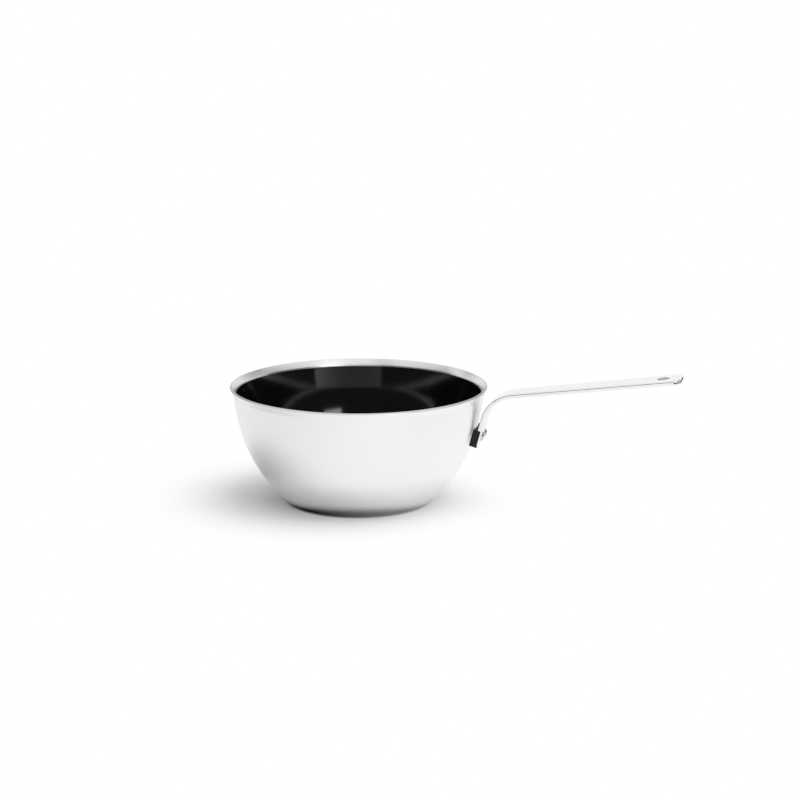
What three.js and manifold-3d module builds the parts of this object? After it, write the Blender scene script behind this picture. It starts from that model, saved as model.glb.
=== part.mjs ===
// A small deep wok: a clad steel bowl, coated black inside, with one flat steel handle that stands
// on a heat-insulating spacer and is held by two rivets.
// Sizes are millimetres and +Z is up. The origin is the middle of the base, on the surface that the
// wok stands on, and the handle points along +X.
import * as THREE from "three";
import { mergeVertices } from "three/addons/utils/BufferGeometryUtils.js";
import Module from "manifold-3d";

// Bowl, measured on its outside
const RIM_RADIUS = 120; // axis to the outermost edge of the lip
const RIM_HEIGHT = 108; // standing surface to the top of the lip
const BASE_RADIUS = 66; // flat part of the base
const BASE_CORNER_RADIUS = 5.6; // rounding between the base and the wall
const NECK = 22; // straight part of the wall, under the lip
const WALL_LEAN = 10; // degrees the neck leans outwards
const LIP_RADIUS = 3.9; // underside of the lip's outward curve
const LIP_ANGLE = 75; // degrees the sheet has turned outwards at its cut edge

// Sheet that the bowl is pressed from, from the outside in
const OUTER_SKIN = 0.5; // magnetic stainless steel
const CORE = 1.5; // aluminium that spreads the heat
const INNER_SKIN = 0.5; // stainless steel
const BOND = 0.05; // between the layers
const COATING = 0.2; // non-stick layer, up to where the lip begins

// Handle, a flat bar bent once
const BAR = 4; // thickness
const ROOT_WIDTH = 25.4; // foot and bend
const TIP_WIDTH = 31.4; // free end
const GRIP_LENGTH = 156.5; // bend to free end
const GRIP_RISE = 7.6; // degrees the grip climbs
const BEND_RADIUS = 33; // upper face of the bend
const FOOT_RISE = 17.5; // rivets to the start of the bend
const FOOT_DROP = 10.5; // rivets to the lower end of the foot
const TIP_CORNER_RADIUS = 7;
const FOOT_CORNER_RADIUS = 4;
const HANGING_HOLE = 11; // diameter
const HANGING_HOLE_INSET = 17; // its middle to the free end

// Spacer between the foot and the wall, a tray whose rim stands round the foot
const SPACER = 3; // thickness at its middle
const SPACER_RISE = 5.6; // rivets to its open upper end
const SPACER_RIM = 1; // thickness of the rim
const SPACER_COVER = 3.2; // part of the foot's thickness that the rim covers

// Rivets
const RIVET_DROP = 40; // rim to the rivets' middles
const RIVET_SPACING = 13;
const SHANK = 5; // diameter
const OUTER_HEAD = 9; // diameter of the domed head on the handle
const OUTER_HEAD_HEIGHT = 3;
const INNER_HEAD = 9.6; // diameter of the low head inside the bowl
const INNER_HEAD_HEIGHT = 1.6;
const RIVET_CLEARANCE = 0.3; // round the shank
const SEAT = 0.2; // between faces that rest on each other

// Facets
const TURN_STEPS = 48;
const CORNER_STEPS = 2;
const WALL_STEPS = 8;
const LIP_STEPS = 4;
const BEND_STEPS = 10;
const ROUND_STEPS = 6; // quarter of a rounded corner
const HEAD_STEPS = 4;
const HOLE_STEPS = 24;

const wasm = await Module();
wasm.setup();
const { sin, cos, sqrt, atan2, asin } = Math;
const radians = THREE.MathUtils.degToRad;
const point = (x, y) => new THREE.Vector2(x, y);

// Points on an arc whose angles run from one value to another, without its first point.
function arc(centre, radius, from, to, steps) {
  const points = [];
  for (let i = 1; i <= steps; i++) {
    const angle = from + ((to - from) * i) / steps;
    points.push(point(centre.x + radius * cos(angle), centre.y + radius * sin(angle)));
  }
  return points;
}

// Solid of a geometry, and the geometry of a solid
function solidOf(geometry) {
  const bare = new THREE.BufferGeometry();
  const source = geometry.index ? geometry.toNonIndexed() : geometry;
  bare.setAttribute("position", source.getAttribute("position"));
  const merged = mergeVertices(bare);
  const vertProperties = merged.getAttribute("position").array;
  const triVerts = new Uint32Array(merged.index.array);
  return new wasm.Manifold(new wasm.Mesh({ numProp: 3, vertProperties, triVerts }));
}

function geometryOf(solid) {
  const { vertProperties, triVerts } = solid.getMesh();
  const geometry = new THREE.BufferGeometry();
  geometry.setAttribute("position", new THREE.BufferAttribute(vertProperties, 3));
  geometry.setIndex(new THREE.BufferAttribute(triVerts, 1));
  geometry.computeVertexNormals();
  return geometry;
}

// Turned about Z from points of radius and height, listed up the outside and back down the inside.
function turned(points) {
  return new THREE.LatheGeometry(points, TURN_STEPS).rotateX(Math.PI / 2);
}

// Outline drawn in X and Y, pulled the same way up and down.
function prism(outline, height) {
  const settings = { depth: height, bevelEnabled: false };
  return new THREE.ExtrudeGeometry(new THREE.Shape(outline), settings).translate(0, 0, -height / 2);
}

// Bowl's section: a flat base, a rounded corner, one large arc for the wall, the straight neck and
// the lip's curve. Every layer follows it at a depth below the outer surface, about the same centres.
const coreDepth = OUTER_SKIN + BOND;
const innerDepth = coreDepth + CORE + BOND;
const sheet = innerDepth + INNER_SKIN;
const coatingDepth = sheet + BOND;
const lean = radians(WALL_LEAN);
const lipEnd = radians(LIP_ANGLE);
const lipCentre = point(
  RIM_RADIUS + LIP_RADIUS * cos(lipEnd),
  RIM_HEIGHT - (LIP_RADIUS + sheet) * sin(lipEnd),
);
function neckTop(depth) {
  const radius = LIP_RADIUS + depth;
  return point(lipCentre.x - radius * cos(lean), lipCentre.y + radius * sin(lean));
}
const wallTop = neckTop(0).addScaledVector(point(sin(lean), cos(lean)), -NECK);
const cornerCentre = point(BASE_RADIUS, BASE_CORNER_RADIUS);

// Radius of the wall's arc, which runs into both the base's corner and the neck
const across = cornerCentre.x - wallTop.x;
const down = cornerCentre.y - wallTop.y;
const wallRadius =
  (BASE_CORNER_RADIUS ** 2 - across ** 2 - down ** 2) /
  (2 * (across * cos(lean) - down * sin(lean) + BASE_CORNER_RADIUS));
const wallCentre = point(wallTop.x - wallRadius * cos(lean), wallTop.y + wallRadius * sin(lean));
const wallFoot = atan2(cornerCentre.y - wallCentre.y, cornerCentre.x - wallCentre.x);

function section(depth, lipSteps = LIP_STEPS) {
  return [
    point(0, depth),
    point(BASE_RADIUS, depth),
    ...arc(cornerCentre, BASE_CORNER_RADIUS - depth, -Math.PI / 2, wallFoot, CORNER_STEPS),
    ...arc(wallCentre, wallRadius - depth, wallFoot, -lean, WALL_STEPS),
    neckTop(depth),
    ...arc(lipCentre, LIP_RADIUS + depth, Math.PI - lean, Math.PI - lipEnd, lipSteps),
  ];
}

function layer(depth, thickness, lipSteps) {
  const outside = section(depth, lipSteps);
  const inside = section(depth + thickness, lipSteps).reverse();
  return turned([...outside, ...inside]);
}

// Handle's seat: the wall's outer surface at the rivets' height, its outward and upward directions
const rivetHeight = RIM_HEIGHT - RIVET_DROP;
const seatTilt = asin((wallCentre.y - rivetHeight) / wallRadius);
const out = point(cos(seatTilt), -sin(seatTilt));
const up = point(sin(seatTilt), cos(seatTilt));
const seat = wallCentre.clone().addScaledVector(out, wallRadius);

// Geometry drawn about the rivets' middle, with X out of the wall and Z up along the foot
function atSeat(geometry) {
  return geometry.rotateY(seatTilt).translate(seat.x, 0, seat.y);
}

// Rivet's bore along X at the seat, as far into the bowl as out past the handle
function rivetBore(side) {
  const radius = SHANK / 2 + RIVET_CLEARANCE;
  const reach = sheet + SPACER + BAR + OUTER_HEAD_HEIGHT;
  const bore = new THREE.CylinderGeometry(radius, radius, 2 * reach, HOLE_STEPS);
  return solidOf(atSeat(bore.rotateZ(Math.PI / 2).translate(0, (side * RIVET_SPACING) / 2, 0)));
}
const rivetBores = rivetBore(-1).add(rivetBore(1));

function drilled(geometry) {
  return geometryOf(solidOf(geometry).subtract(rivetBores));
}

// Handle's path on its upper face, in length and height, from the foot's lower end to the free end
const rise = radians(GRIP_RISE);
const along = point(cos(rise), sin(rise));
const footLine = seat.clone().addScaledVector(out, SPACER);
const footEnd = footLine.clone().addScaledVector(up, -FOOT_DROP);
const bendStart = footLine.clone().addScaledVector(up, FOOT_RISE);
const bendCentre = bendStart.clone().addScaledVector(out, BEND_RADIUS);
const bendFrom = Math.PI - seatTilt;
const bendTo = Math.PI / 2 + rise;
const bendEnd = point(
  bendCentre.x + BEND_RADIUS * cos(bendTo),
  bendCentre.y + BEND_RADIUS * sin(bendTo),
);

function barFace(depth) {
  const under = point(along.y, -along.x);
  return [
    footEnd.clone().addScaledVector(out, depth),
    bendStart.clone().addScaledVector(out, depth),
    ...arc(bendCentre, BEND_RADIUS - depth, bendFrom, bendTo, BEND_STEPS),
    bendEnd.clone().addScaledVector(under, depth).addScaledVector(along, GRIP_LENGTH),
  ];
}

// Longer and wider than the handle, for the outlines that trim it
const handleSpan = GRIP_LENGTH + BEND_RADIUS + FOOT_RISE + FOOT_DROP + BAR;
const handleBreadth = ROOT_WIDTH + TIP_WIDTH;

// Grip's outline seen square to its face, from the bend's end: it widens to the free end, whose
// corners are rounded. The bend and the foot lie behind it at the root's width.
function gripOutline() {
  const cornerX = GRIP_LENGTH - TIP_CORNER_RADIUS;
  const cornerY = TIP_WIDTH / 2 - TIP_CORNER_RADIUS;
  return [
    point(-handleSpan, -ROOT_WIDTH / 2),
    point(0, -ROOT_WIDTH / 2),
    point(cornerX, -TIP_WIDTH / 2),
    ...arc(point(cornerX, -cornerY), TIP_CORNER_RADIUS, -Math.PI / 2, 0, ROUND_STEPS),
    point(GRIP_LENGTH, cornerY),
    ...arc(point(cornerX, cornerY), TIP_CORNER_RADIUS, 0, Math.PI / 2, ROUND_STEPS),
    point(0, ROOT_WIDTH / 2),
    point(-handleSpan, ROOT_WIDTH / 2),
  ];
}

// Foot's lower end seen along the rivets, with X down: its two rounded corners, moved out by a margin
function footCorners(margin) {
  const cornerX = FOOT_DROP - FOOT_CORNER_RADIUS;
  const cornerY = ROOT_WIDTH / 2 - FOOT_CORNER_RADIUS;
  const radius = FOOT_CORNER_RADIUS + margin;
  return [
    point(cornerX, -cornerY - radius),
    ...arc(point(cornerX, -cornerY), radius, -Math.PI / 2, 0, ROUND_STEPS),
    point(cornerX + radius, cornerY),
    ...arc(point(cornerX, cornerY), radius, 0, Math.PI / 2, ROUND_STEPS),
  ];
}

// Outline that trims the foot alone: above the rivets it stands clear of the grip.
function footOutline() {
  return [
    point(-handleSpan, -handleBreadth),
    point(0, -handleBreadth),
    point(0, -ROOT_WIDTH / 2),
    ...footCorners(0),
    point(0, ROOT_WIDTH / 2),
    point(0, handleBreadth),
    point(-handleSpan, handleBreadth),
  ];
}

function handleBar() {
  const sideView = [...barFace(0), ...barFace(BAR).reverse()];
  const bent = solidOf(prism(sideView, handleBreadth).rotateX(Math.PI / 2));
  const onGrip = (geometry) => geometry.rotateY(-rise).translate(bendEnd.x, 0, bendEnd.y);
  const grip = solidOf(onGrip(prism(gripOutline(), 2 * handleSpan)));
  const foot = solidOf(atSeat(prism(footOutline(), 2 * handleSpan).rotateY(Math.PI / 2)));
  const holeRadius = HANGING_HOLE / 2;
  const holeReach = BAR + holeRadius;
  const hole = new THREE.CylinderGeometry(holeRadius, holeRadius, 2 * holeReach, HOLE_STEPS);
  hole.rotateX(Math.PI / 2).translate(GRIP_LENGTH - HANGING_HOLE_INSET, 0, 0);
  return bent.intersect(grip).intersect(foot).subtract(solidOf(onGrip(hole)));
}

// Spacer: a tray that the foot stands in, open at its upper end, hollowed to the bowl's round wall
function spacer() {
  const slab = (margin, top, from, to) => {
    const halfWidth = ROOT_WIDTH / 2 + margin;
    const outline = [point(-top, -halfWidth), ...footCorners(margin), point(-top, halfWidth)];
    const block = prism(outline, to - from).rotateY(Math.PI / 2);
    return solidOf(atSeat(block.translate((from + to) / 2, 0, 0)));
  };
  const tray = slab(SEAT + SPACER_RIM, SPACER_RISE, -sheet, SPACER + SPACER_COVER);
  const pocket = slab(SEAT, SPACER_RISE + BAR, SPACER - SEAT, SPACER + 2 * BAR);
  const wall = solidOf(turned([...section(-SEAT), point(0, RIM_HEIGHT)]));
  return tray.subtract(pocket).subtract(wall);
}

// Rivet about its own axis: a low head inside the bowl, the shank and a domed head on the handle.
// Round the inner head the wall curves in, so that the head's rim meets it first.
function rivet() {
  const bulge = (reach, radius) => radius - sqrt(radius ** 2 - reach ** 2);
  const lining = seat.x - sheet;
  const facet = lining * (1 - cos(Math.PI / TURN_STEPS));
  const sideways = bulge(RIVET_SPACING / 2 + INNER_HEAD / 2, lining);
  const upwards = bulge(INNER_HEAD / 2, wallRadius - sheet);
  const innerSeat = -(coatingDepth + COATING + sideways + upwards + facet);
  const outerSeat = SPACER + BAR + SEAT;
  const dome = (radius, base, height) => {
    const points = [];
    for (let i = 0; i < HEAD_STEPS; i++) {
      const angle = (Math.PI / 2) * (i / HEAD_STEPS);
      points.push(point(radius * cos(angle), base + height * sin(angle)));
    }
    return [...points, point(0, base + height)];
  };
  const profile = [
    ...dome(INNER_HEAD / 2, innerSeat, -INNER_HEAD_HEIGHT).reverse(),
    point(SHANK / 2, innerSeat),
    point(SHANK / 2, outerSeat),
    ...dome(OUTER_HEAD / 2, outerSeat, OUTER_HEAD_HEIGHT),
  ];
  return new THREE.LatheGeometry(profile, HOLE_STEPS).rotateZ(-Math.PI / 2);
}

// Finishes
const SATIN_STEEL = { color: 0xd9d9d6, roughness: 0.32, metalness: 1 };
const ALUMINIUM = { color: 0xc4c6c8, roughness: 0.45, metalness: 1 };
const BRIGHT_STEEL = { color: 0xdededb, roughness: 0.22, metalness: 1 };
const POLISHED_STEEL = { color: 0xe4e4e1, roughness: 0.18, metalness: 1 };
const BLACK_COATING = { color: 0x0e0e0f, roughness: 0.2, metalness: 0 };
const BLACK_MOULDING = { color: 0x171717, roughness: 0.4, metalness: 0 };

const wok = new THREE.Group();
function add(name, geometry, finish) {
  const mesh = new THREE.Mesh(geometry, new THREE.MeshStandardMaterial(finish));
  mesh.name = name;
  wok.add(mesh);
  return mesh;
}

// Bowl's layers, each drilled for the rivets
const NO_LIP = 0;
add("bowl_outer_skin", drilled(layer(0, OUTER_SKIN)), SATIN_STEEL);
add("bowl_core", drilled(layer(coreDepth, CORE)), ALUMINIUM);
add("bowl_inner_skin", drilled(layer(innerDepth, INNER_SKIN)), BRIGHT_STEEL);
add("nonstick_coating", drilled(layer(coatingDepth, COATING, NO_LIP)), BLACK_COATING);

// Handle and what holds it
add("handle_bar", geometryOf(handleBar().subtract(rivetBores)), POLISHED_STEEL);
add("handle_spacer", geometryOf(spacer().subtract(rivetBores)), BLACK_MOULDING);
for (const [name, side] of [["rivet_left", -1], ["rivet_right", 1]]) {
  const held = add(name, rivet(), POLISHED_STEEL);
  held.rotation.y = seatTilt;
  held.position.set(seat.x, (side * RIVET_SPACING) / 2, seat.y);
}

export default wok;
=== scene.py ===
"""Looks of a small deep wok: a clad steel bowl with a black non-stick inside, one flat bent steel
handle on a black spacer, and two rivets. Sizes are metres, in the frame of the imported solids: the origin
is the middle of the base, +Z is up and the handle points along +X."""

from functools import partial
from math import asin, atan2, cos, pi, radians, sin, sqrt
from types import SimpleNamespace

import bmesh
import bpy
from mathutils import Matrix, Vector


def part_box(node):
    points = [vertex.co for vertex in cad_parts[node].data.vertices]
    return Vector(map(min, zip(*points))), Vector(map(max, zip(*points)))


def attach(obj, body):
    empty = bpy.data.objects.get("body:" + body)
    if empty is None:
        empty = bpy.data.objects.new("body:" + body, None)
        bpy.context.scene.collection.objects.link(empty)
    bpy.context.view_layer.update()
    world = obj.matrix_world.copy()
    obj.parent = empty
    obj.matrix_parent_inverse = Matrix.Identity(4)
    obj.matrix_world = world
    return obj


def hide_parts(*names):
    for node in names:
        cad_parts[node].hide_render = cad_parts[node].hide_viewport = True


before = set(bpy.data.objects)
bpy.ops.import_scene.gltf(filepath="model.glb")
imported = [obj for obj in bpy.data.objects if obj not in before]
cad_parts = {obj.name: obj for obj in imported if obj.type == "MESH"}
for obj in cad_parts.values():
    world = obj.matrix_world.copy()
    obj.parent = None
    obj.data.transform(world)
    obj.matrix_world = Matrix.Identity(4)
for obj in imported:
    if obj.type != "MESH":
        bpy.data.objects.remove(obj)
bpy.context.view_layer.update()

bl_info = {
    "name": "Wok",
    "version": (1, 0, 0),
    "blender": (4, 5, 0),
    "location": "3D View > Sidebar > Wok",
    "description": "Builds a wok's pieces and finishes around its solids, and a studio to see it in",
    "category": "Object",
}

MM = 0.001
BODY = "root"

# Facets and tolerances
TURN_STEPS = 144
FLAT_STEPS = 10
CORNER_STEPS = 10
WALL_STEPS = 36
LIP_STEPS = 14
EDGE_STEPS = 6
BEND_STEPS = 28
ROUND_STEPS = 12  # quarter of a rounded corner
HOLE_STEPS = 40
DOME_STEPS = 12
SPACER_STEPS = 16
CARD_STEPS = 32
SETTLE_STEPS = 20  # rounds in which the spacer's back finds the wall
WELD = 1e-6
SHARP = radians(35)
MOULD_EDGE = radians(50)  # edges of the spacer that turn more than this are rounded
HUB = 1 * MM  # radius of the ring that a section is swept round


def linear(hex_colour):
    """Linear red, green, blue and alpha of an sRGB hex colour."""
    channels = [int(hex_colour[i : i + 2], 16) / 255 for i in (0, 2, 4)]
    return (*(c / 12.92 if c <= 0.04045 else ((c + 0.055) / 1.055) ** 2.4 for c in channels), 1.0)


def length(name, description, default):
    """Property that holds a length in metres."""
    return bpy.props.FloatProperty(
        name=name, description=description, default=default, min=0, unit="LENGTH", precision=5
    )


def angle(name, description, degrees):
    """Property that holds an angle, shown in degrees."""
    return bpy.props.FloatProperty(
        name=name, description=description, default=radians(degrees), subtype="ANGLE"
    )


def colour(name, description, hex_colour):
    """Property that holds a colour, written as sRGB hex."""
    return bpy.props.FloatVectorProperty(
        name=name, description=description, default=linear(hex_colour), size=4, min=0, max=1, subtype="COLOR"
    )


class WokBowl(bpy.types.PropertyGroup):
    """Sizes of the bowl and of the sheet that it is pressed from."""

    rim_radius: length("Rim radius", "Axis to the lip's outermost edge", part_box("bowl_outer_skin")[1].y)
    rim_height: length("Rim height", "Standing surface to the top of the lip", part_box("bowl_inner_skin")[1].z)
    base_radius: length("Base radius", "Flat part of the base", 66 * MM)
    corner_radius: length("Base corner", "Rounding between the base and the wall", 5.6 * MM)
    neck: length("Neck", "Straight part of the wall, under the lip", 20.529 * MM)
    wall_lean: angle("Wall lean", "Outward lean of the neck", 10)
    lip_radius: length("Lip radius", "Underside of the lip's bend", 2 * MM)
    lip_angle: angle("Lip angle", "Outward lean of the lip", 29)
    flare: length("Flare", "Straight part of the lip", 5.911 * MM)
    outer_skin: length("Outer skin", "Thickness of the outer steel", 0.5 * MM)
    core: length("Core", "Thickness of the aluminium", 1.5 * MM)
    inner_skin: length("Inner skin", "Thickness of the inner steel", 0.5 * MM)
    bond: length("Bond", "Gap between two layers", 0.05 * MM)
    coating: length("Coating", "Thickness of the non-stick layer", 0.2 * MM)
    coating_drop: length("Coating drop", "Start of the lip to the coating's edge", 0.3 * MM)
    edge_round: length("Edge rounding", "Rounding of the sheet's cut edge", 0.45 * MM)


class WokHandle(bpy.types.PropertyGroup):
    """Sizes of the handle, its spacer and its rivets."""

    bar: length("Bar", "Thickness of the handle", 4 * MM)
    root_width: length("Root width", "Width of the foot and the bend", 25.4 * MM)
    tip_width: length("Tip width", "Width of the free end", 31.4 * MM)
    grip_length: length("Grip length", "Bend to free end", 156.5 * MM)
    grip_rise: angle("Grip rise", "Climb of the grip", 7.6)
    bend_radius: length("Bend radius", "Upper face of the bend", 33 * MM)
    foot_rise: length("Foot rise", "Rivets to the start of the bend", 17.5 * MM)
    foot_drop: length("Foot drop", "Rivets to the foot's lower end", 10.5 * MM)
    tip_corner: length("Tip corner", "Rounding of the free end's corners", 7 * MM)
    foot_corner: length("Foot corner", "Rounding of the foot's corners", 4 * MM)
    edge_round: length("Edge rounding", "Rounding along the bar's edges", 1.4 * MM)
    hole: length("Hanging hole", "Diameter of the hanging hole", 11 * MM)
    hole_inset: length("Hole inset", "Hanging hole's middle to the free end", 17 * MM)
    hole_round: length("Hole rounding", "Rounding of the hanging hole's edges", 0.4 * MM)
    bore_round: length("Bore rounding", "Rounding of the rivets' bores in the bar", 0.2 * MM)
    spacer: length("Spacer", "Thickness of the spacer at its middle", 3 * MM)
    spacer_rise: length("Spacer rise", "Rivets to the spacer's open upper end", 5.6 * MM)
    spacer_rim: length("Spacer rim", "Thickness of the rim round the foot", 1 * MM)
    spacer_cover: length("Spacer cover", "Part of the foot's thickness that the rim covers", 3.2 * MM)
    spacer_round: length("Spacer rounding", "Rounding of the spacer's edges", 0.3 * MM)
    rivet_drop: length("Rivet drop", "Rim to the rivets' middles", 40 * MM)
    rivet_spacing: length("Rivet spacing", "Middle to middle of the two rivets", 13 * MM)
    shank: length("Shank", "Diameter of a rivet's shank", 5 * MM)
    bore_clearance: length("Bore clearance", "Gap round a shank", 0.3 * MM)
    outer_head: length("Outer head", "Diameter of a rivet's head on the handle", 9 * MM)
    outer_head_height: length("Outer head height", "Height of that head", 3 * MM)
    inner_head: length("Inner head", "Diameter of a rivet's head in the bowl", 9.6 * MM)
    inner_head_height: length("Inner head height", "Height of that head", 1.6 * MM)
    seat_gap: length("Seat gap", "Gap between faces that rest on each other", 0.2 * MM)


class WokFinish(bpy.types.PropertyGroup):
    """Colours of the finishes."""

    satin_steel: colour("Satin steel", "Outside of the bowl", "F8F8F7")
    lip_steel: colour("Lip steel", "Bare lip", "ECECEC")
    bright_steel: colour("Bright steel", "Handle", "F0F0F0")
    rivet_steel: colour("Rivet steel", "Rivets", "D0D0D0")
    punched_steel: colour("Punched steel", "Walls of the handle's holes", "D8D8D8")
    aluminium: colour("Aluminium", "Core of the sheet", "D6D6D6")
    coating: colour("Coating", "Non-stick inside", "0B0B0C")
    moulding: colour("Moulding", "Spacer behind the handle's foot", "121212")


class WokStudio(bpy.types.PropertyGroup):
    """Camera and studio."""

    azimuth: angle("Azimuth", "Turn of the camera round the wok, from its side", 12)
    elevation: angle("Elevation", "Camera's height above the horizon", 12.88)
    distance: length("Distance", "Camera to the point that it looks at", 2.5)
    aim: bpy.props.FloatVectorProperty(
        name="Aim",
        description="Point that the camera looks at",
        default=(37.63 * MM, 8.06 * MM, 93.25 * MM),
        subtype="XYZ",
        unit="LENGTH",
    )
    image_span: length("Image span", "Width of the picture at that point", 0.7455)
    paper: colour("Paper", "Floor under the wok", "F2F2F2")
    # painted contact shadow: the paper's colour right under the base's edge
    painted_contact_shadow: colour("Shade", "Floor right under the base", "383838")


def polar(centre, radius, turn):
    """Point at an angle round a centre, in radius and height."""
    return centre + radius * Vector((cos(turn), sin(turn)))


def arc(centre, radius, start, end, steps):
    """Points on an arc, without its first one."""
    return [polar(centre, radius, start + (end - start) * i / steps) for i in range(1, steps + 1)]


def bowl_rule(bowl):
    """Centres and radii that the bowl's section follows: corner, wall, neck and lip run into each other."""
    core_depth = bowl.outer_skin + bowl.bond
    inner_depth = core_depth + bowl.core + bowl.bond
    sheet = inner_depth + bowl.inner_skin
    flare = Vector((sin(bowl.lip_angle), cos(bowl.lip_angle)))
    neck = Vector((sin(bowl.wall_lean), cos(bowl.wall_lean)))
    lip = Vector((
        bowl.rim_radius + bowl.lip_radius * flare.y - bowl.flare * flare.x,
        bowl.rim_height - (bowl.lip_radius + sheet) * flare.x - bowl.flare * flare.y,
    ))
    corner = Vector((bowl.base_radius, bowl.corner_radius))
    lean = Vector((-neck.y, neck.x))
    wall_top = lip + bowl.lip_radius * lean - bowl.neck * neck
    span = corner - wall_top
    wall_radius = (bowl.corner_radius**2 - span.length_squared) / (2 * (bowl.corner_radius - span.dot(lean)))
    wall = wall_top + wall_radius * lean
    return SimpleNamespace(
        core_depth=core_depth,
        inner_depth=inner_depth,
        sheet=sheet,
        coating_depth=sheet + bowl.bond,
        neck=neck,
        flare=flare,
        lip=lip,
        corner=corner,
        wall=wall,
        wall_radius=wall_radius,
        wall_foot=atan2(corner.y - wall.y, corner.x - wall.x),
    )


def handle_rule(bowl, handle):
    """Seat of the handle on the wall and the path of its upper face, in length and height."""
    rule = bowl_rule(bowl)
    tilt = asin((rule.wall.y - (bowl.rim_height - handle.rivet_drop)) / rule.wall_radius)
    out = Vector((cos(tilt), -sin(tilt)))
    up = Vector((sin(tilt), cos(tilt)))
    seat = rule.wall + rule.wall_radius * out
    foot_end = seat + handle.spacer * out - handle.foot_drop * up
    bend_start = foot_end + (handle.foot_drop + handle.foot_rise) * up
    bend = bend_start + handle.bend_radius * out
    bend_from = pi - tilt
    bend_to = pi / 2 + handle.grip_rise
    foot_length = handle.foot_drop + handle.foot_rise
    bend_length = handle.bend_radius * (bend_from - bend_to)
    return SimpleNamespace(
        tilt=tilt,
        out=out,
        up=up,
        seat=seat,
        foot_end=foot_end,
        bend=bend,
        bend_from=bend_from,
        bend_to=bend_to,
        foot_length=foot_length,
        bent_length=foot_length + bend_length,
        whole_length=foot_length + bend_length + handle.grip_length,
    )


def on_path(path, handle, along, depth):
    """Point of the bar at a length along its upper face and a depth below it."""
    if along <= path.foot_length:
        return path.foot_end + along * path.up + depth * path.out
    if along <= path.bent_length:
        turn = path.bend_from - (along - path.foot_length) / handle.bend_radius
        return polar(path.bend, handle.bend_radius - depth, turn)
    grip = Vector((cos(handle.grip_rise), sin(handle.grip_rise)))
    end = polar(path.bend, handle.bend_radius, path.bend_to)
    return end + (along - path.bent_length) * grip + depth * Vector((grip.y, -grip.x))


def wall_points(bowl, rule, depth):
    """Section of one face of a layer, from the axis to the top of the wall."""
    return [
        *(Vector((bowl.base_radius * i / FLAT_STEPS, depth)) for i in range(FLAT_STEPS + 1)),
        *arc(rule.corner, bowl.corner_radius - depth, -pi / 2, rule.wall_foot, CORNER_STEPS),
        *arc(rule.wall, rule.wall_radius - depth, rule.wall_foot, -bowl.wall_lean, WALL_STEPS),
    ]


def lip_points(bowl, rule, depth, inwards, rounding):
    """Section of one face of a layer over the neck and the lip, with a quarter round to its cut edge."""
    radius = bowl.lip_radius + depth
    points = [
        polar(rule.lip, radius, pi - bowl.wall_lean),
        *arc(rule.lip, radius, pi - bowl.wall_lean, pi - bowl.lip_angle, LIP_STEPS),
    ]
    inside = Vector((-rule.flare.y, rule.flare.x))
    edge = points[-1] + bowl.flare * rule.flare
    for i in range(EDGE_STEPS + 1 if rounding else 1):
        turn = pi / 2 * i / EDGE_STEPS
        back = rounding * (1 - sin(turn)) * rule.flare
        points.append(edge - back + inwards * rounding * (1 - cos(turn)) * inside)
    return points


def sheet_section(bowl, depth, thickness, outer_round=0.0, inner_round=0.0):
    """Section of a layer: up its outside, over its cut edge and down its inside, axis to axis."""
    rule = bowl_rule(bowl)
    sides = []
    for face, inwards, rounding in ((depth, 1, outer_round), (depth + thickness, -1, inner_round)):
        lip = lip_points(bowl, rule, face, inwards, rounding)
        sides.append([*wall_points(bowl, rule, face), *lip])
    return [*sides[0], *reversed(sides[1])]


def coating_section(bowl):
    """Section of the coating, which ends on the neck."""
    rule = bowl_rule(bowl)
    sides = []
    for face in (rule.coating_depth, rule.coating_depth + bowl.coating):
        neck_top = polar(rule.lip, bowl.lip_radius + face, pi - bowl.wall_lean)
        sides.append([*wall_points(bowl, rule, face), neck_top - bowl.coating_drop * rule.neck])
    return [*sides[0], *reversed(sides[1])]


def rivet_section(bowl, handle):
    """Section of a rivet about its own axis: inner head, shank and domed outer head."""
    rule = bowl_rule(bowl)
    lining = handle_rule(bowl, handle).seat.x - rule.sheet

    def bulge(reach, radius):
        return radius - sqrt(radius**2 - reach**2)

    def dome(radius, base, height):
        turns = [pi / 2 * i / DOME_STEPS for i in range(DOME_STEPS)]
        curve = [Vector((radius * cos(t), base + height * sin(t))) for t in turns]
        return [*curve, Vector((0, base + height))]

    sideways = bulge((handle.rivet_spacing + handle.inner_head) / 2, lining)
    upwards = bulge(handle.inner_head / 2, rule.wall_radius - rule.sheet)
    inner_seat = -(rule.coating_depth + bowl.coating + sideways + upwards + handle.seat_gap)
    outer_seat = handle.spacer + handle.bar + handle.seat_gap
    return [
        *reversed(dome(handle.inner_head / 2, inner_seat, -handle.inner_head_height)),
        Vector((handle.shank / 2, inner_seat)),
        Vector((handle.shank / 2, outer_seat)),
        *dome(handle.outer_head / 2, outer_seat, handle.outer_head_height),
    ]


def add(tree, kind, inputs=None, **settings):
    """Adds a node. Each input is a value, or the output of another node to link."""
    node = tree.nodes.new(kind)
    for name, value in settings.items():
        setattr(node, name, value)
    for name, value in (inputs or {}).items():
        if isinstance(value, bpy.types.NodeSocket):
            tree.links.new(value, node.inputs[name])
        else:
            node.inputs[name].default_value = value
    return node


def geometry_tree(name, sockets):
    """New Geometry Nodes tree with a geometry in and out and its named inputs."""
    tree = bpy.data.node_groups.new(name, "GeometryNodeTree")
    tree.interface.new_socket("Section", in_out="INPUT", socket_type="NodeSocketGeometry")
    tree.interface.new_socket("Made", in_out="OUTPUT", socket_type="NodeSocketGeometry")
    for socket, kind in sockets.items():
        tree.interface.new_socket(socket, in_out="INPUT", socket_type="NodeSocket" + kind)
    return tree, add(tree, "NodeGroupInput").outputs


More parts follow.
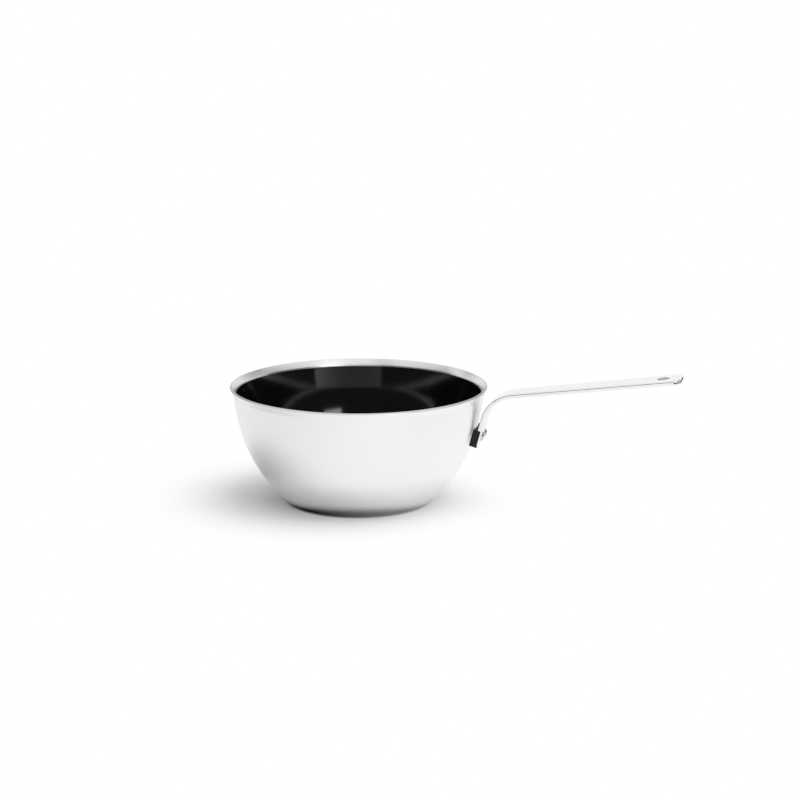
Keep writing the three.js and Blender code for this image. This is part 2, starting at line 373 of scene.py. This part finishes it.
def turning_tree():
    """Tree that turns a section about the Z axis, as on a lathe, and closes it at its poles."""
    name = "Turn Section"
    if name in bpy.data.node_groups:
        return bpy.data.node_groups[name]
    tree, given = geometry_tree(name, {"Steps": "Int", "Hub Radius": "Float", "Finish": "Material"})
    section = add(tree, "GeometryNodeMeshToCurve", {"Mesh": given["Section"]})
    ring = add(
        tree,
        "GeometryNodeCurvePrimitiveCircle",
        {"Resolution": given["Steps"], "Radius": given["Hub Radius"]},
    )
    swept = add(
        tree,
        "GeometryNodeCurveToMesh",
        {"Curve": ring.outputs["Curve"], "Profile Curve": section.outputs["Curve"]},
    )
    welded = add(tree, "GeometryNodeMergeByDistance", {"Geometry": swept.outputs["Mesh"], "Distance": WELD})
    whole = add(tree, "GeometryNodeRealizeInstances", {"Geometry": welded.outputs["Geometry"]})
    dressed = add(
        tree,
        "GeometryNodeSetMaterial",
        {"Geometry": whole.outputs["Geometry"], "Material": given["Finish"]},
    )
    add(tree, "NodeGroupOutput", {"Made": dressed.outputs["Geometry"]})
    return tree


def rivet_tree():
    """Tree that turns one rivet and sets copies of it in a row across the handle's foot."""
    tree, given = geometry_tree(
        "Rivet Row",
        {
            "Steps": "Int",
            "Hub Radius": "Float",
            "Rivets": "Int",
            "Row Start": "Vector",
            "Spacing": "Vector",
            "Turn": "Vector",
            "Finish": "Material",
        },
    )
    rivet = add(tree, "GeometryNodeGroup", node_tree=turning_tree())
    for socket in ("Section", "Steps", "Hub Radius", "Finish"):
        tree.links.new(given[socket], rivet.inputs[socket])
    row = add(
        tree,
        "GeometryNodeMeshLine",
        {"Count": given["Rivets"], "Start Location": given["Row Start"], "Offset": given["Spacing"]},
    )
    turn = add(tree, "FunctionNodeEulerToRotation", {"Euler": given["Turn"]})
    set_in = add(
        tree,
        "GeometryNodeInstanceOnPoints",
        {
            "Points": row.outputs["Mesh"],
            "Instance": rivet.outputs["Made"],
            "Rotation": turn.outputs["Rotation"],
        },
    )
    whole = add(tree, "GeometryNodeRealizeInstances", {"Geometry": set_in.outputs["Instances"]})
    dressed = add(
        tree,
        "GeometryNodeSetMaterial",
        {"Geometry": whole.outputs["Geometry"], "Material": given["Finish"]},
    )
    add(tree, "NodeGroupOutput", {"Made": dressed.outputs["Geometry"]})
    return tree


def new_piece(name, vertices, edges=(), faces=(), finish=None):
    """New object at the origin with a mesh of its own."""
    mesh = bpy.data.meshes.new(name)
    mesh.from_pydata([tuple(v) for v in vertices], edges, faces)
    piece = bpy.data.objects.new(name, mesh)
    bpy.context.scene.collection.objects.link(piece)
    if finish:
        mesh.materials.append(finish)
    return piece


def section_piece(name, section):
    """Object that holds a section as a line of edges, drawn as the sweep reads it."""
    points = [(p.x - HUB, -p.y, 0) for p in section]
    return new_piece(name, points, [(i, i + 1) for i in range(len(points) - 1)])


def run_tree(piece, tree, values):
    """Adds a Geometry Nodes modifier with its inputs set by their identifiers."""
    modifier = piece.modifiers.new(tree.name, "NODES")
    modifier.node_group = tree
    for socket in tree.interface.items_tree:
        if socket.in_out == "INPUT" and socket.name in values:
            modifier[socket.identifier] = values[socket.name]


def bake(piece):
    """Turns a piece's modifiers into its plain mesh."""
    depsgraph = bpy.context.evaluated_depsgraph_get()
    made = bpy.data.meshes.new_from_object(piece.evaluated_get(depsgraph), depsgraph=depsgraph)
    drawn = piece.data
    piece.modifiers.clear()
    piece.data = made
    bpy.data.meshes.remove(drawn)
    made.name = piece.name


def finish_mesh(piece):
    """Welds a piece, turns its faces out, shades it smooth up to its edges and tests that it is closed."""
    work = bmesh.new()
    work.from_mesh(piece.data)
    bmesh.ops.remove_doubles(work, verts=work.verts, dist=WELD)
    bmesh.ops.recalc_face_normals(work, faces=work.faces)
    whole = len(work.faces) > 0 and all(edge.is_manifold for edge in work.edges)
    work.to_mesh(piece.data)
    work.free()
    if not whole:
        raise RuntimeError(f"{piece.name} isn't a closed mesh")
    piece.data.shade_smooth()
    piece.data.set_sharp_from_angle(angle=SHARP)


def fit(piece, slot, *nodes, mirrored=True):
    """Sets a piece in the frame in place of its solids. One that isn't mirrored leaves no image in the
    steel, which would hold it sharper than the real wall does."""
    piece.visible_glossy = mirrored
    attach(piece, BODY)
    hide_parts(*nodes)


def rivet_bores(bowl, handle):
    """Cutting tool: the rivets' two bores through the sheet."""
    path = handle_rule(bowl, handle)
    reach = bowl_rule(bowl).sheet + handle.spacer + handle.bar
    work = bmesh.new()
    for side in (-1, 1):
        place = Matrix.Translation((path.seat.x, side * handle.rivet_spacing / 2, path.seat.y))
        radius = handle.shank / 2 + handle.bore_clearance
        bmesh.ops.create_cone(
            work,
            cap_ends=True,
            segments=HOLE_STEPS,
            radius1=radius,
            radius2=radius,
            depth=2 * reach,
            matrix=place @ Matrix.Rotation(pi / 2 + path.tilt, 4, "Y"),
        )
    tool = new_piece("rivet_bores", [])
    work.to_mesh(tool.data)
    work.free()
    return tool


def new_finish(name):
    """New material with its shader, and the piece's own coordinates."""
    material = bpy.data.materials.new(name)
    material.use_nodes = True
    tree = material.node_tree
    shader = tree.nodes["Principled BSDF"]
    place = add(tree, "ShaderNodeTexCoord").outputs["Object"]
    return material, tree, shader, place


def bump(tree, shader, height, depth, strength=1.0):
    """Links a height pattern to the shader as a bump of a real depth."""
    node = add(tree, "ShaderNodeBump", {"Height": height, "Distance": depth, "Strength": strength})
    tree.links.new(node.outputs["Normal"], shader.inputs["Normal"])


def vary(tree, source, low, high, target):
    """Maps a pattern from 0 and 1 to a range and links it to a socket."""
    node = add(tree, "ShaderNodeMapRange", {"Value": source, "To Min": low, "To Max": high})
    tree.links.new(node.outputs["Result"], target)


def brush(tree, shader, place, amount):
    """Stretches the reflections across lines that run round the Z axis."""
    around = add(tree, "ShaderNodeVectorMath", {0: (0, 0, 1), 1: place}, operation="CROSS_PRODUCT")
    tree.links.new(around.outputs["Vector"], shader.inputs["Tangent"])
    shader.inputs["Anisotropic"].default_value = amount
    shader.inputs["Anisotropic Rotation"].default_value = 0.25


def turned_lines(tree, place, spacing):
    """Fine lines that run round the Z axis, as a lathe or a polishing wheel leaves them."""
    parts = add(tree, "ShaderNodeSeparateXYZ", {"Vector": place})
    level = add(tree, "ShaderNodeVectorMath", {0: place, 1: (1, 1, 0)}, operation="MULTIPLY")
    radius = add(tree, "ShaderNodeVectorMath", {0: level.outputs["Vector"]}, operation="LENGTH")
    climb = add(
        tree,
        "ShaderNodeMath",
        {0: radius.outputs["Value"], 1: parts.outputs["Z"]},
        operation="ADD",
    )
    across = add(tree, "ShaderNodeMath", {0: climb.outputs["Value"], 1: 1 / spacing}, operation="MULTIPLY")
    run = 1 / (60 * MM)
    around = add(
        tree,
        "ShaderNodeVectorMath",
        {0: level.outputs["Vector"], 1: (run,) * 3},
        operation="MULTIPLY",
    )
    offset = add(tree, "ShaderNodeCombineXYZ", {"Z": across.outputs["Value"]})
    lines = add(
        tree,
        "ShaderNodeVectorMath",
        {0: around.outputs["Vector"], 1: offset.outputs["Vector"]},
        operation="ADD",
    )
    noise = add(
        tree,
        "ShaderNodeTexNoise",
        {"Vector": lines.outputs["Vector"], "Scale": 1.0, "Detail": 3.0, "Roughness": 0.6},
    )
    return noise.outputs["Fac"]


def satin_steel(finish):
    """Stainless steel 18/10, spun and satin polished: soft wide reflections broken up by faint turned lines.
    The real lines are about 0.1 mm apart. They are drawn 1.2 mm apart so that they show."""
    material, tree, shader, place = new_finish("stainless_steel_satin")
    shader.inputs["Base Color"].default_value = finish.satin_steel
    shader.inputs["Metallic"].default_value = 1.0
    lines = turned_lines(tree, place, 1.2 * MM)
    vary(tree, lines, 0.26, 0.34, shader.inputs["Roughness"])
    brush(tree, shader, place, 0.5)
    bump(tree, shader, lines, 0.002 * MM)
    return material


def bright_lip(finish):
    """Stainless steel, brushed on a wheel: a pale soft sheen with hairlines round the lip."""
    material, tree, shader, place = new_finish("stainless_steel_brushed_lip")
    shader.inputs["Base Color"].default_value = finish.lip_steel
    shader.inputs["Metallic"].default_value = 1.0
    lines = turned_lines(tree, place, 0.9 * MM)
    vary(tree, lines, 0.28, 0.36, shader.inputs["Roughness"])
    brush(tree, shader, place, 0.5)
    bump(tree, shader, lines, 0.002 * MM)
    return material


def rolled_aluminium(finish):
    """Aluminium as rolled and cut: a slightly dull, cool grey line in the sheet's cut edge."""
    material, tree, shader, place = new_finish("aluminium_rolled")
    shader.inputs["Base Color"].default_value = finish.aluminium
    shader.inputs["Metallic"].default_value = 1.0
    lines = turned_lines(tree, place, 0.6 * MM)
    vary(tree, lines, 0.35, 0.5, shader.inputs["Roughness"])
    return material


def black_coating(finish):
    """Fired PTFE over a ceramic primer: deep glossy black with a faint ripple and the primer's specks."""
    material, tree, shader, place = new_finish("nonstick_coating_black")
    ripple = add(tree, "ShaderNodeTexNoise", {"Vector": place, "Scale": 1 / (9 * MM), "Detail": 1.0})
    specks = add(tree, "ShaderNodeTexNoise", {"Vector": place, "Scale": 1 / (0.8 * MM), "Detail": 2.0})
    shader.inputs["Base Color"].default_value = finish.coating
    shader.inputs["IOR"].default_value = 1.5
    vary(tree, specks.outputs["Fac"], 0.06, 0.14, shader.inputs["Roughness"])
    bump(tree, shader, ripple.outputs["Fac"], 0.01 * MM)
    return material


def polished_handle(finish):
    """Stainless steel bar, tumbled and polished along its length: bright, with faint straight hairlines."""
    material, tree, shader, place = new_finish("stainless_steel_polished_bar")
    shader.inputs["Base Color"].default_value = finish.bright_steel
    shader.inputs["Metallic"].default_value = 1.0
    stretch = add(
        tree,
        "ShaderNodeMapping",
        {"Vector": place, "Scale": (1 / (40 * MM), 1 / (0.7 * MM), 1 / (0.7 * MM))},
    )
    hairlines = add(
        tree,
        "ShaderNodeTexNoise",
        {"Vector": stretch.outputs["Vector"], "Scale": 1.0, "Detail": 2.0},
    )
    vary(tree, hairlines.outputs["Fac"], 0.1, 0.18, shader.inputs["Roughness"])
    bump(tree, shader, hairlines.outputs["Fac"], 0.002 * MM)
    return material


def punched_steel(finish):
    """Stainless steel as a punch tears it: dull and dark in the walls of the bar's holes."""
    material, tree, shader, place = new_finish("stainless_steel_punched")
    tears = add(tree, "ShaderNodeTexNoise", {"Vector": place, "Scale": 1 / (0.5 * MM), "Detail": 2.0})
    shader.inputs["Base Color"].default_value = finish.punched_steel
    shader.inputs["Metallic"].default_value = 1.0
    vary(tree, tears.outputs["Fac"], 0.5, 0.7, shader.inputs["Roughness"])
    bump(tree, shader, tears.outputs["Fac"], 0.03 * MM)
    return material


def polished_rivet(finish):
    """Stainless steel rivet, cold headed and tumbled: bright, with a faint hammered unevenness."""
    material, tree, shader, place = new_finish("stainless_steel_rivet")
    dents = add(tree, "ShaderNodeTexNoise", {"Vector": place, "Scale": 1 / (4 * MM), "Detail": 1.0})
    shader.inputs["Base Color"].default_value = finish.rivet_steel
    shader.inputs["Metallic"].default_value = 1.0
    vary(tree, dents.outputs["Fac"], 0.14, 0.26, shader.inputs["Roughness"])
    bump(tree, shader, dents.outputs["Fac"], 0.006 * MM)
    return material


def black_moulding(finish):
    """Phenolic moulding, black: matt with a fine grain from the mould."""
    material, tree, shader, place = new_finish("phenolic_moulding_black")
    grain = add(tree, "ShaderNodeTexNoise", {"Vector": place, "Scale": 1 / (0.6 * MM), "Detail": 3.0})
    shader.inputs["Base Color"].default_value = finish.moulding
    shader.inputs["Specular IOR Level"].default_value = 0.3
    vary(tree, grain.outputs["Fac"], 0.42, 0.6, shader.inputs["Roughness"])
    bump(tree, shader, grain.outputs["Fac"], 0.02 * MM)
    return material


class WOK_OT_bowl(bpy.types.Operator):
    """Build the bowl's steel skins, aluminium core and non-stick coating"""

    bl_idname = "wok.bowl"
    bl_label = "Bowl"

    def execute(self, context):
        bowl = context.scene.wok_bowl
        finish = context.scene.wok_finish
        rule = bowl_rule(bowl)
        edge = bowl.edge_round
        layers = (
            ("outer_skin", "bowl_outer_skin", "satin_steel", satin_steel(finish),
             sheet_section(bowl, 0, bowl.outer_skin, outer_round=edge)),
            ("aluminium_core", "bowl_core", "aluminium_core", rolled_aluminium(finish),
             sheet_section(bowl, rule.core_depth, bowl.core)),
            ("inner_skin", "bowl_inner_skin", "lip_steel", bright_lip(finish),
             sheet_section(bowl, rule.inner_depth, bowl.inner_skin, inner_round=edge)),
            ("black_lining", "nonstick_coating", "black_coating", black_coating(finish),
             coating_section(bowl)),
        )
        bores = rivet_bores(bowl, context.scene.wok_handle)
        for name, node, slot, material, section in layers:
            piece = section_piece(name, section)
            run_tree(piece, turning_tree(), {"Steps": TURN_STEPS, "Hub Radius": HUB, "Finish": material})
            drill = piece.modifiers.new("Rivet bores", "BOOLEAN")
            drill.object = bores
            drill.solver = "EXACT"
            bake(piece)
            finish_mesh(piece)
            fit(piece, slot, node)
        bpy.data.objects.remove(bores)
        return {"FINISHED"}


class WOK_OT_handle(bpy.types.Operator):
    """Build the flat steel handle: a cut blank with rounded edges, bent once"""

    bl_idname = "wok.handle"
    bl_label = "Handle"

    def execute(self, context):
        handle = context.scene.wok_handle
        path = handle_rule(context.scene.wok_bowl, handle)
        finish = context.scene.wok_finish
        piece = new_piece("handle", [], finish=polished_handle(finish))
        piece.data.materials.append(punched_steel(finish))
        work = self.blank(handle, path)
        for vertex in work.verts:
            along, across, height = vertex.co
            place = on_path(path, handle, along, -height)
            vertex.co = (place.x, across, place.y)
        work.to_mesh(piece.data)
        work.free()
        finish_mesh(piece)
        flats = piece.modifiers.new("Flat faces", "WEIGHTED_NORMAL")
        flats.keep_sharp = True
        bake(piece)
        fit(piece, "handle_steel", "handle_bar")
        return {"FINISHED"}

    def blank(self, handle, path):
        """Flat blank in length, width and height, with its holes, cut across where it will bend."""
        work = bmesh.new()
        hole = Vector((path.whole_length - handle.hole_inset, 0))
        edges = [
            (partial(self.outline, handle, path), handle.edge_round, 0),
            (partial(self.ring, hole, handle.hole / 2), handle.hole_round, 1),
        ]
        for side in (-1, 1):
            bore = Vector((handle.foot_drop, side * handle.rivet_spacing / 2))
            radius = handle.shank / 2 + handle.bore_clearance
            edges.append((partial(self.ring, bore, radius), handle.bore_round, 1))
        upper, lower = [], []
        for outline, rounding, finish in edges:
            rings = []
            for inset, depth in self.levels(handle.bar, rounding):
                rings.append([work.verts.new((p.x, p.y, -depth)) for p in outline(inset)])
            for above, below in zip(rings, rings[1:]):
                for i in range(len(above)):
                    face = work.faces.new((above[i - 1], above[i], below[i], below[i - 1]))
                    face.material_index = finish
            for rim, ring in ((upper, rings[0]), (lower, rings[-1])):
                rim += [work.edges.get((ring[i - 1], ring[i])) for i in range(len(ring))]
        for rim in (upper, lower):
            bmesh.ops.triangle_fill(work, use_beauty=True, edges=rim)
        bend = path.bent_length - path.foot_length
        for i in range(BEND_STEPS + 1):
            bmesh.ops.bisect_plane(
                work,
                geom=[*work.verts, *work.edges, *work.faces],
                dist=WELD,
                plane_co=(path.foot_length + bend * i / BEND_STEPS, 0, 0),
                plane_no=(1, 0, 0),
            )
        return work

    def levels(self, thickness, rounding):
        """Inset and depth of the rings over a rounded edge, from the upper face to the lower one."""
        turns = [pi / 2 * i / EDGE_STEPS for i in range(EDGE_STEPS + 1)]
        upper = [(rounding * (1 - sin(turn)), rounding * (1 - cos(turn))) for turn in turns]
        return [*upper, *((inset, thickness - depth) for inset, depth in reversed(upper))]

    def ring(self, centre, radius, inset):
        """Edge of a round hole, moved into the metal by an inset."""
        return arc(centre, radius + inset, 0, 2 * pi, HOLE_STEPS)

    def outline(self, handle, path, inset):
        """Edge of the blank, moved into the metal by an inset: it widens from the bend to the free end,
        and its corners are rounded."""
        foot = Vector((handle.foot_corner, handle.root_width / 2 - handle.foot_corner))
        tip = Vector((path.whole_length - handle.tip_corner, handle.tip_width / 2 - handle.tip_corner))
        foot_radius = handle.foot_corner - inset
        tip_radius = handle.tip_corner - inset
        half = [
            polar(foot, foot_radius, pi),
            *arc(foot, foot_radius, pi, pi / 2, ROUND_STEPS),
            Vector((path.bent_length, handle.root_width / 2 - inset)),
            polar(tip, tip_radius, pi / 2),
            *arc(tip, tip_radius, pi / 2, 0, ROUND_STEPS),
        ]
        return [*half, *(Vector((p.x, -p.y)) for p in reversed(half))]


class WOK_OT_spacer(bpy.types.Operator):
    """Build the black spacer: a tray round the handle's foot, hollowed to the bowl's wall"""

    bl_idname = "wok.spacer"
    bl_label = "Spacer"

    def execute(self, context):
        bowl = context.scene.wok_bowl
        handle = context.scene.wok_handle
        path = handle_rule(bowl, handle)
        rule = bowl_rule(bowl)
        floor = handle.spacer - handle.seat_gap
        rim = handle.spacer + handle.spacer_cover
        back = partial(self.wall_depth, path, rule, handle)
        margin = handle.seat_gap + handle.spacer_rim
        piece = self.block("spacer", handle, path, margin, handle.spacer_rise, back, rim)
        piece.data.materials.append(black_moulding(context.scene.wok_finish))
        pocket = self.block("pocket", handle, path, handle.seat_gap, handle.spacer_rise + handle.bar,
                            lambda climb, across: floor, rim + handle.bar)
        bores = rivet_bores(bowl, handle)
        for tool in (pocket, bores):
            drill = piece.modifiers.new(tool.name, "BOOLEAN")
            drill.object = tool
            drill.solver = "EXACT"
        bake(piece)
        for tool in (pocket, bores):
            bpy.data.objects.remove(tool)
        finish_mesh(piece)
        edges = piece.modifiers.new("Moulded edges", "BEVEL")
        edges.limit_method = "ANGLE"
        edges.angle_limit = MOULD_EDGE
        edges.width = handle.spacer_round
        edges.segments = EDGE_STEPS
        bake(piece)
        finish_mesh(piece)
        fit(piece, "black_spacer", "handle_spacer", mirrored=False)
        return {"FINISHED"}

    def block(self, name, handle, path, margin, top, back, front):
        """The foot's outline, with a margin, from its lower end to a height above the rivets. It reaches
        from a back surface, which is a function of the place, out to a front plane."""
        radius = handle.foot_corner + margin
        corner = Vector((handle.foot_corner - handle.foot_drop, handle.root_width / 2 - handle.foot_corner))
        half = [Vector((corner.x - radius, corner.y)), *arc(corner, radius, pi, pi / 2, ROUND_STEPS)]
        half.append(Vector((top, corner.y + radius)))
        outline = [*half, *(Vector((p.x, -p.y)) for p in reversed(half))]
        work = bmesh.new()
        work.faces.new([work.verts.new((p.x, p.y, front)) for p in outline])
        for i in range(1, SPACER_STEPS):
            bmesh.ops.bisect_plane(
                work,
                geom=[*work.verts, *work.edges, *work.faces],
                dist=WELD,
                plane_co=(0, (2 * i / SPACER_STEPS - 1) * (corner.y + radius), 0),
                plane_no=(0, 1, 0),
            )
        grown = bmesh.ops.extrude_face_region(work, geom=list(work.faces))["geom"]
        for vertex in grown:
            if isinstance(vertex, bmesh.types.BMVert):
                vertex.co.z = back(vertex.co.x, vertex.co.y)
        for vertex in work.verts:
            climb, across, depth = vertex.co
            place = path.seat + depth * path.out + climb * path.up
            vertex.co = (place.x, across, place.y)
        piece = new_piece(name, [])
        work.to_mesh(piece.data)
        work.free()
        finish_mesh(piece)
        return piece

    def wall_depth(self, path, rule, handle, climb, across):
        """Distance out of the seat at which the bowl's wall lies, with the seat's gap."""
        depth = 0.0
        for _ in range(SETTLE_STEPS):
            point = path.seat + depth * path.out + climb * path.up
            radius = sqrt(point.x**2 + across**2)
            reach = (Vector((radius, point.y)) - rule.wall).length
            depth -= reach - rule.wall_radius - handle.seat_gap
        return depth


class WOK_OT_rivets(bpy.types.Operator):
    """Build the two rivets that hold the handle"""

    bl_idname = "wok.rivets"
    bl_label = "Rivets"

    def execute(self, context):
        bowl = context.scene.wok_bowl
        handle = context.scene.wok_handle
        path = handle_rule(bowl, handle)
        piece = section_piece("rivets", rivet_section(bowl, handle))
        run_tree(
            piece,
            rivet_tree(),
            {
                "Steps": HOLE_STEPS,
                "Hub Radius": HUB,
                "Rivets": 2,
                "Row Start": (path.seat.x, -handle.rivet_spacing / 2, path.seat.y),
                "Spacing": (0, handle.rivet_spacing, 0),
                "Turn": (0, pi / 2 + path.tilt, 0),
                "Finish": polished_rivet(context.scene.wok_finish),
            },
        )
        bake(piece)
        finish_mesh(piece)
        fit(piece, "rivet_steel", "rivet_left", "rivet_right", mirrored=False)
        return {"FINISHED"}


class WOK_OT_studio(bpy.types.Operator):
    """Set up the floor, the light and the camera"""

    bl_idname = "wok.studio"
    bl_label = "Studio"

    def execute(self, context):
        scene = context.scene
        studio = scene.wok_studio
        scene.view_settings.view_transform = "Standard"
        self.camera(scene, studio)
        self.world(scene)
        self.floor(studio)
        self.lights(scene)
        self.cards()
        self.mirrored_paper()
        return {"FINISHED"}

    def direction(self, azimuth, elevation):
        """Direction from the wok, with azimuth 0 along -Y and growing towards +X."""
        return Vector((sin(azimuth) * cos(elevation), -cos(azimuth) * cos(elevation), sin(elevation)))

    def camera(self, scene, studio):
        data = bpy.data.cameras.new("camera")
        camera = bpy.data.objects.new("camera", data)
        back = self.direction(studio.azimuth, studio.elevation)
        camera.location = Vector(studio.aim) + studio.distance * back
        camera.rotation_euler = (-back).to_track_quat("-Z", "Y").to_euler()
        data.lens = data.sensor_width * studio.distance / studio.image_span
        data.clip_end = 100
        scene.collection.objects.link(camera)
        scene.camera = camera

    def shown(self, tree):
        """1 where a camera, glossy or transmitted ray meets the stage, 0 where it is only lit by it."""
        light_path = add(tree, "ShaderNodeLightPath").outputs
        shiny = add(
            tree,
            "ShaderNodeMath",
            {0: light_path["Is Glossy Ray"], 1: light_path["Is Transmission Ray"]},
            operation="MAXIMUM",
        )
        return add(
            tree,
            "ShaderNodeMath",
            {0: light_path["Is Camera Ray"], 1: shiny.outputs["Value"]},
            operation="MAXIMUM",
        ).outputs["Value"]

    def world(self, scene):
        """White all round as far as it is seen, and a soft light that comes from the ceiling."""
        world = bpy.data.worlds.new("white_studio")
        world.use_nodes = True
        tree = world.node_tree
        scene.world = world
        background = tree.nodes["Background"]
        background.inputs["Color"].default_value = (1, 1, 1, 1)
        ray = add(tree, "ShaderNodeTexCoord").outputs["Generated"]
        height = add(tree, "ShaderNodeSeparateXYZ", {"Vector": ray}).outputs["Z"]
        strength = add(
            tree,
            "ShaderNodeMath",
            {0: height, 1: self.shown(tree)},
            operation="MAXIMUM",
        )
        tree.links.new(strength.outputs["Value"], background.inputs["Strength"])

    def around(self, tree, place, centre, near, far):
        """Smooth step from 0 at one distance from a point to 1 at another."""
        away = add(tree, "ShaderNodeVectorMath", {0: place, 1: centre}, operation="DISTANCE")
        step = add(
            tree,
            "ShaderNodeMapRange",
            {"Value": away.outputs["Value"], "From Min": near, "From Max": far},
            interpolation_type="SMOOTHSTEP",
        )
        return step.outputs["Result"]

    def floor(self, studio):
        """White paper with a painted contact shadow: its colour darkens right under the base's edge, and the
        steel mirrors that painted shadow. It takes the wok's shadow and fades into the white around it."""
        half = 6.0
        depth = -0.1 * MM
        corners = [(-half, -half, depth), (half, -half, depth), (half, half, depth), (-half, half, depth)]
        material, tree, shader, place = new_finish("white_paper")
        shader.inputs["Roughness"].default_value = 0.9
        shader.inputs["Specular IOR Level"].default_value = 0.0
        # painted contact shadow: the paper's colour turns dark in a ring under the base's edge
        painted_contact_shadow = self.around(tree, place, (2 * MM, -10 * MM, 0), 61 * MM, 69 * MM)
        paper = add(tree, "ShaderNodeMix", {0: painted_contact_shadow, 6: studio.painted_contact_shadow, 7: studio.paper}, data_type="RGBA")
        tree.links.new(paper.outputs[2], shader.inputs["Base Color"])
        # painted light: the white glow is centred left of the wok, so it lifts the floor, and the wall that
        # mirrors it, more on the right
        fade = self.around(tree, place, (-30 * MM, -6 * MM, 0), 50 * MM, 200 * MM)
        share = add(tree, "ShaderNodeMath", {0: fade, 1: self.shown(tree)}, operation="MULTIPLY")
        white = add(tree, "ShaderNodeEmission", {"Color": (1, 1, 1, 1), "Strength": 1.0})
        mixed = add(
            tree,
            "ShaderNodeMixShader",
            {0: share.outputs["Value"], 1: shader.outputs["BSDF"], 2: white.outputs["Emission"]},
        )
        tree.links.new(mixed.outputs["Shader"], tree.nodes["Material Output"].inputs["Surface"])
        floor = new_piece("floor", corners, faces=[(0, 1, 2, 3)], finish=material)

    def lights(self, scene):
        """Wide soft key light high on the right, which leaves no image in the steel, and a small lamp in
        front, which does."""
        lamps = (
            ("key_softbox", 92, 72, 2.4, 1.9, 1.9, 29, False),
            ("front_lamp", 42, 30, 3.0, 0.9, 0.45, 7, True),
        )
        for name, azimuth, elevation, distance, width, height, watts, mirrored in lamps:
            data = bpy.data.lights.new(name, "AREA")
            data.shape = "RECTANGLE"
            data.size = width
            data.size_y = height
            data.energy = watts
            light = bpy.data.objects.new(name, data)
            light.visible_glossy = mirrored
            towards = self.direction(radians(azimuth), radians(elevation))
            light.location = distance * towards
            light.rotation_euler = (-towards).to_track_quat("-Z", "Y").to_euler()
            scene.collection.objects.link(light)

    def cards(self):
        """Cards that only shiny surfaces see: the dark side of the room, round the camera, which polished
        edges and the black inside reflect, a strip above it for the handle's long edge, a low pale card in
        front, a dark flag past the handle and another behind, which draws the far edges."""
        cards = (
            ("dark_side", (-90, 114), (0, 32), 5.0, 0.08),
            ("dark_strip", (-21, -10), (32, 48), 5.0, 0.08),
            ("low_card", (-9, 56), (3, 9), 3.0, 2.1),
            ("dark_flag", (35, 150), (0, 9), 0.62, 0.05),
            ("back_flag", (120, 250), (18, 38), 5.0, 0.3),
        )
        for name, azimuths, elevations, distance, brightness in cards:
            vertices = []
            for i in range(CARD_STEPS + 1):
                azimuth = azimuths[0] + (azimuths[1] - azimuths[0]) * i / CARD_STEPS
                for elevation in elevations:
                    ray = self.direction(radians(azimuth), radians(elevation))
                    vertices.append(ray * distance / cos(radians(elevation)))
            self.hang(name, vertices, brightness)

    def mirrored_paper(self):
        """Ring that only shiny surfaces see, glowing with a painted shadow: its glow is dimmed on the left,
        away from the key light, and that paints the wall's soft change from side to side."""
        near, far, height = 104 * MM, 600 * MM, 0.5 * MM
        vertices = []
        for i in range(CARD_STEPS + 1):
            ray = self.direction(2 * pi * i / CARD_STEPS, 0)
            vertices += [ray * near + Vector((0, 0, height)), ray * far + Vector((0, 0, height))]
        tree, shader, place = self.hang("mirrored_paper", vertices, 1.0)
        # painted shadow: the glow is dimmest near a point left of the wok, and a little dimmer all along the
        # left side
        painted_shadow_step = self.around(tree, place, (-98 * MM, -18 * MM, 0), 0, 155 * MM)
        side = add(tree, "ShaderNodeSeparateXYZ", {"Vector": place}).outputs["X"]
        bright = add(
            tree,
            "ShaderNodeMapRange",
            {"Value": side, "From Min": -0.25, "From Max": 0.25, "To Min": 0.86, "To Max": 1.0},
        )
        vary(tree, painted_shadow_step, 0.38, bright.outputs["Result"], shader.inputs["Emission Strength"])

    def hang(self, name, vertices, brightness):
        """Sets up a card of an even brightness, from pairs of points along it, that only shiny surfaces
        see."""
        material, tree, shader, place = new_finish(name)
        shader.inputs["Base Color"].default_value = (0, 0, 0, 1)
        shader.inputs["Specular IOR Level"].default_value = 0.0
        shader.inputs["Emission Color"].default_value = (1, 1, 1, 1)
        shader.inputs["Emission Strength"].default_value = brightness
        faces = [(2 * i, 2 * i + 2, 2 * i + 3, 2 * i + 1) for i in range(CARD_STEPS)]
        card = new_piece(name, vertices, faces=faces, finish=material)
        card.visible_camera = False
        card.visible_diffuse = False
        card.visible_shadow = False
        return tree, shader, place


class WOK_PT_panel(bpy.types.Panel):
    """Sizes, finishes and steps of the wok"""

    bl_idname = "WOK_PT_panel"
    bl_label = "Wok"
    bl_space_type = "VIEW_3D"
    bl_region_type = "UI"
    bl_category = "Wok"

    def draw(self, context):
        for title, name in GROUPS.items():
            box = self.layout.box()
            box.label(text=title)
            settings = getattr(context.scene, name)
            for key in settings.__annotations__:
                box.prop(settings, key)
        for operator in OPERATORS:
            self.layout.operator(operator.bl_idname)


GROUPS = {"Bowl": "wok_bowl", "Handle": "wok_handle", "Finish": "wok_finish", "Studio": "wok_studio"}
SETTINGS = (WokBowl, WokHandle, WokFinish, WokStudio)
OPERATORS = (WOK_OT_bowl, WOK_OT_handle, WOK_OT_spacer, WOK_OT_rivets, WOK_OT_studio)


def register():
    for cls in (*SETTINGS, *OPERATORS, WOK_PT_panel):
        bpy.utils.register_class(cls)
    for name, cls in zip(GROUPS.values(), SETTINGS):
        setattr(bpy.types.Scene, name, bpy.props.PointerProperty(type=cls))


def unregister():
    for name in GROUPS.values():
        delattr(bpy.types.Scene, name)
    for cls in reversed((*SETTINGS, *OPERATORS, WOK_PT_panel)):
        bpy.utils.unregister_class(cls)


def main():
    register()
    bpy.ops.wok.bowl()
    bpy.ops.wok.handle()
    bpy.ops.wok.spacer()
    bpy.ops.wok.rivets()
    bpy.ops.wok.studio()


if __name__ == "__main__":
    main()
